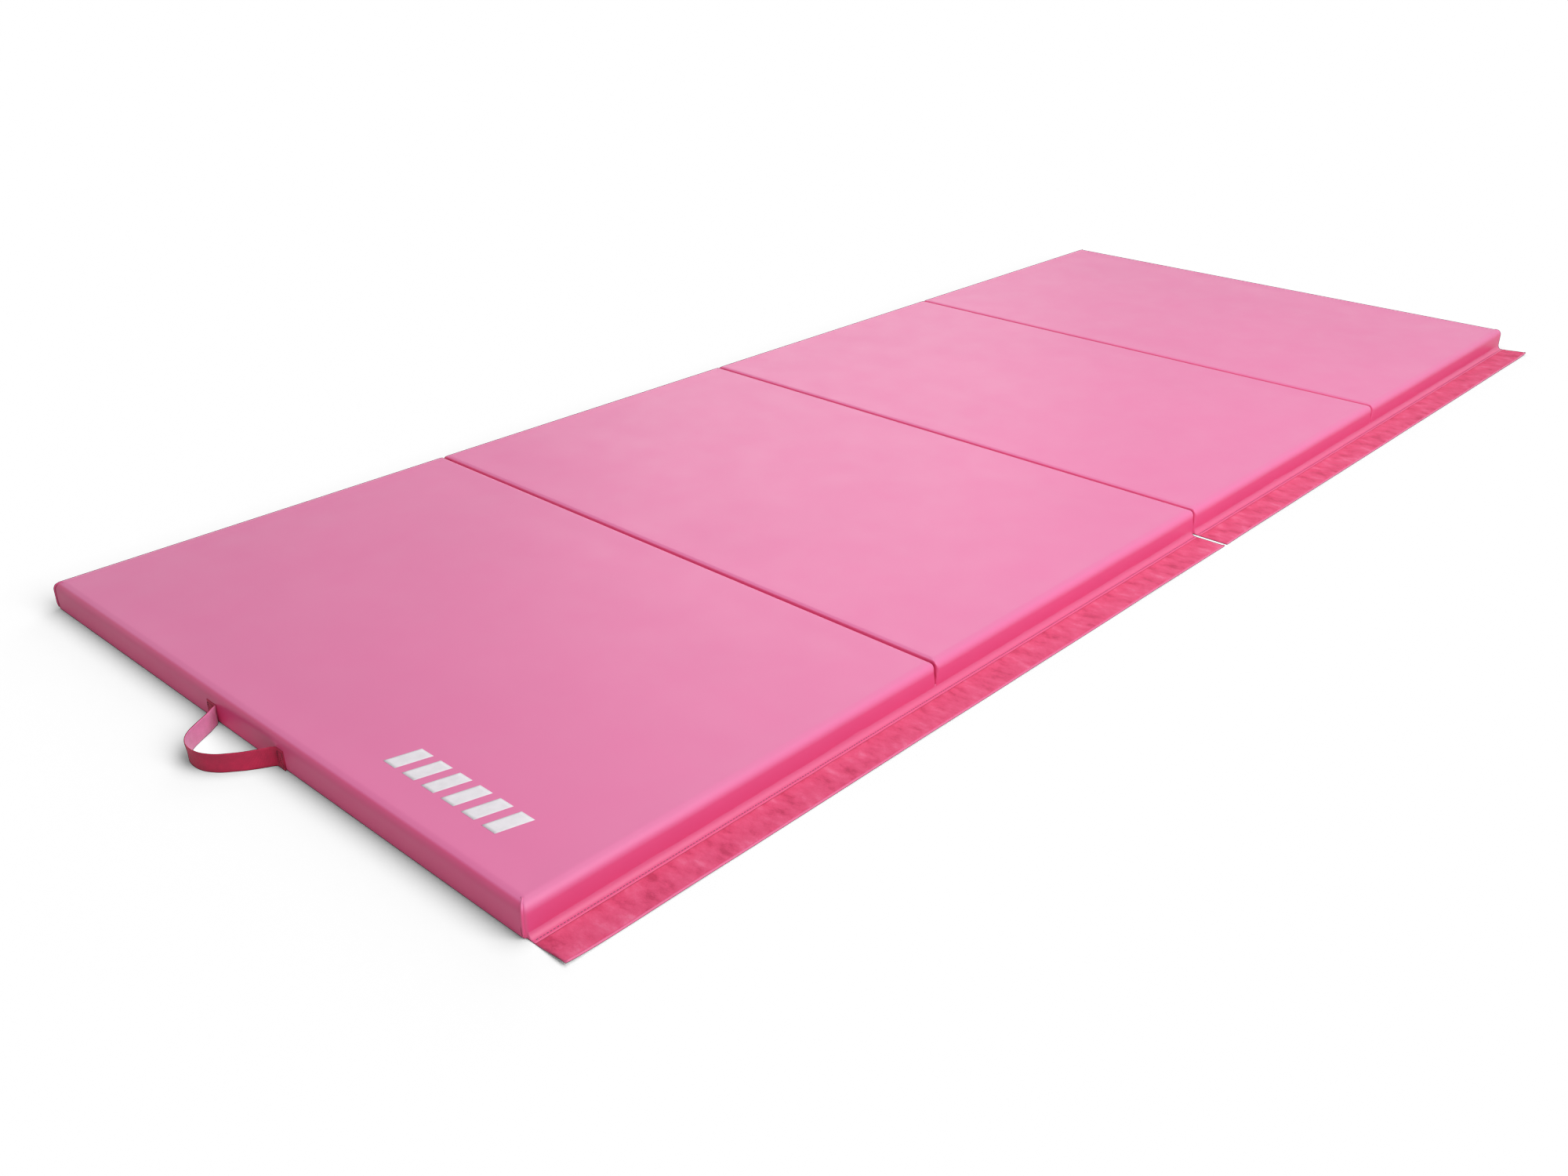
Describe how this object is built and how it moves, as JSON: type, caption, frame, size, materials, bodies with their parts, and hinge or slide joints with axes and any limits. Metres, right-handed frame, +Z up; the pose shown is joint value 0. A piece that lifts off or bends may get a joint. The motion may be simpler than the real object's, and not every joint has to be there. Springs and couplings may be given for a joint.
{
  "type": "folding gym mat",
  "caption": "Folding gym mat: vinyl-covered foam panels joined by alternating folds, with a loop-tape side flap, hook tape underneath, zipped covers and webbing carry handles.",
  "frame": {"origin": "on the surface the open mat lies on, under the middle of the whole mat with its side flap; the panels' own middle line is at y = 0.030 m", "axes": "+X along the mat from panel 1 to panel 4, -Y towards the side with the loop-tape flap, +Z up"},
  "size_m": [3.16, 1.272, 0.05],
  "materials": {
    "cover_vinyl": "semi-gloss coated vinyl",
    "base_vinyl": "satin coated vinyl",
    "strip_vinyl": "satin coated vinyl",
    "hem_vinyl": "semi-gloss coated vinyl",
    "foam": "closed-cell foam",
    "loop_pile": "crushed loop pile",
    "hook_tape": "woven tape with fine hooks",
    "webbing": "woven webbing",
    "zip_tape": "woven tape with a nylon coil",
    "zip_metal": "plated"
  },
  "bodies": {
    "panel_1": {"foam_core_1": "foam", "cover_1": "cover_vinyl", "base_cover_1": "base_vinyl", "hook_tape_1": "hook_tape", "hem_1": "hem_vinyl", "zip_tape_1": "zip_tape", "fold_strip_1a": "strip_vinyl", "handle_tabs_near": "webbing"},
    "flap_1": {"flap_1": "hem_vinyl", "loop_tape_1": "loop_pile"},
    "zip_slider_1": {"zip_slider_1": "zip_metal"},
    "zip_pull_1": {"zip_pull_1": "zip_metal"},
    "panel_2": {"foam_core_2": "foam", "cover_2": "cover_vinyl", "base_cover_2": "base_vinyl", "hook_tape_2": "hook_tape", "hem_2": "hem_vinyl", "zip_tape_2": "zip_tape", "fold_strip_1b": "strip_vinyl", "fold_strip_2a": "strip_vinyl"},
    "flap_2": {"flap_2": "hem_vinyl", "loop_tape_2": "loop_pile"},
    "zip_slider_2": {"zip_slider_2": "zip_metal"},
    "zip_pull_2": {"zip_pull_2": "zip_metal"},
    "panel_3": {"foam_core_3": "foam", "cover_3": "cover_vinyl", "base_cover_3": "base_vinyl", "hook_tape_3": "hook_tape", "hem_3": "hem_vinyl", "zip_tape_3": "zip_tape", "fold_strip_2b": "strip_vinyl", "fold_strip_3a": "strip_vinyl"},
    "flap_3": {"flap_3": "hem_vinyl", "loop_tape_3": "loop_pile"},
    "zip_slider_3": {"zip_slider_3": "zip_metal"},
    "zip_pull_3": {"zip_pull_3": "zip_metal"},
    "panel_4": {"foam_core_4": "foam", "cover_4": "cover_vinyl", "base_cover_4": "base_vinyl", "hook_tape_4": "hook_tape", "hem_4": "hem_vinyl", "zip_tape_4": "zip_tape", "fold_strip_3b": "strip_vinyl", "handle_tabs_far": "webbing"},
    "flap_4": {"flap_4": "hem_vinyl", "loop_tape_4": "loop_pile"},
    "zip_slider_4": {"zip_slider_4": "zip_metal"},
    "zip_pull_4": {"zip_pull_4": "zip_metal"},
    "handle_near": {"handle_loop_near": "webbing"},
    "handle_far": {"handle_loop_far": "webbing"}
  },
  "joints": [
    {"name": "fold_1", "type": "hinge", "parent": "panel_2", "child": "panel_1", "pos_m": [-0.75, 0.03, -0.00025], "axis": [0, -1, 0], "range_deg": [0, 180]},
    {"name": "fold_2", "type": "hinge", "parent": "panel_2", "child": "panel_3", "pos_m": [0, 0.03, 0.05025], "axis": [0, -1, 0], "range_deg": [0, 180]},
    {"name": "fold_3", "type": "hinge", "parent": "panel_3", "child": "panel_4", "pos_m": [0.75, 0.03, -0.00025], "axis": [0, 1, 0], "range_deg": [0, 180]},
    {"name": "flap_a_swing", "type": "hinge", "parent": "panel_2", "child": "flap_2", "pos_m": [-0.375, -0.582, 0.0006], "axis": [-1, 0, 0], "range_deg": [-90, 90]},
    {"name": "flap_b_swing", "type": "hinge", "parent": "panel_4", "child": "flap_4", "pos_m": [1.125, -0.582, 0.0006], "axis": [-1, 0, 0], "range_deg": [-90, 90]},
    {"name": "flap_a_fold", "type": "hinge", "parent": "flap_2", "child": "flap_1", "pos_m": [-0.75, -0.582, -0.00025], "axis": [0, -1, 0], "range_deg": [0, 180]},
    {"name": "flap_b_fold", "type": "hinge", "parent": "flap_4", "child": "flap_3", "pos_m": [0.75, -0.582, -0.00025], "axis": [0, -1, 0], "range_deg": [0, 180]},
    {"name": "handle_near_swing", "type": "hinge", "parent": "panel_1", "child": "handle_near", "pos_m": [-1.5171, 0.033, 0.0155], "axis": [0, 1, 0], "range_deg": [-90, 90]},
    {"name": "handle_far_swing", "type": "hinge", "parent": "panel_4", "child": "handle_far", "pos_m": [1.5171, 0.027, 0.0155], "axis": [0, -1, 0], "range_deg": [-90, 90]},
    {"name": "zip_1_slide", "type": "slide", "parent": "panel_1", "child": "zip_slider_1", "axis": [-1, 0, 0], "range_m": [0, 0.56]},
    {"name": "zip_1_pull", "type": "hinge", "parent": "zip_slider_1", "child": "zip_pull_1", "pos_m": [-0.845, 0.6349, 0.024], "axis": [0, 0, 1], "range_deg": [0, 180]},
    {"name": "zip_2_slide", "type": "slide", "parent": "panel_2", "child": "zip_slider_2", "axis": [-1, 0, 0], "range_m": [0, 0.56]},
    {"name": "zip_2_pull", "type": "hinge", "parent": "zip_slider_2", "child": "zip_pull_2", "pos_m": [-0.095, 0.6349, 0.024], "axis": [0, 0, 1], "range_deg": [0, 180]},
    {"name": "zip_3_slide", "type": "slide", "parent": "panel_3", "child": "zip_slider_3", "axis": [-1, 0, 0], "range_m": [0, 0.56]},
    {"name": "zip_3_pull", "type": "hinge", "parent": "zip_slider_3", "child": "zip_pull_3", "pos_m": [0.655, 0.6349, 0.024], "axis": [0, 0, 1], "range_deg": [0, 180]},
    {"name": "zip_4_slide", "type": "slide", "parent": "panel_4", "child": "zip_slider_4", "axis": [-1, 0, 0], "range_m": [0, 0.56]},
    {"name": "zip_4_pull", "type": "hinge", "parent": "zip_slider_4", "child": "zip_pull_4", "pos_m": [1.405, 0.6349, 0.024], "axis": [0, 0, 1], "range_deg": [0, 180]}
  ],
  "couplings": [
    {"joint": "flap_a_fold", "follows": "fold_1", "ratio": 1},
    {"joint": "flap_b_fold", "follows": "fold_3", "ratio": 1}
  ]
}
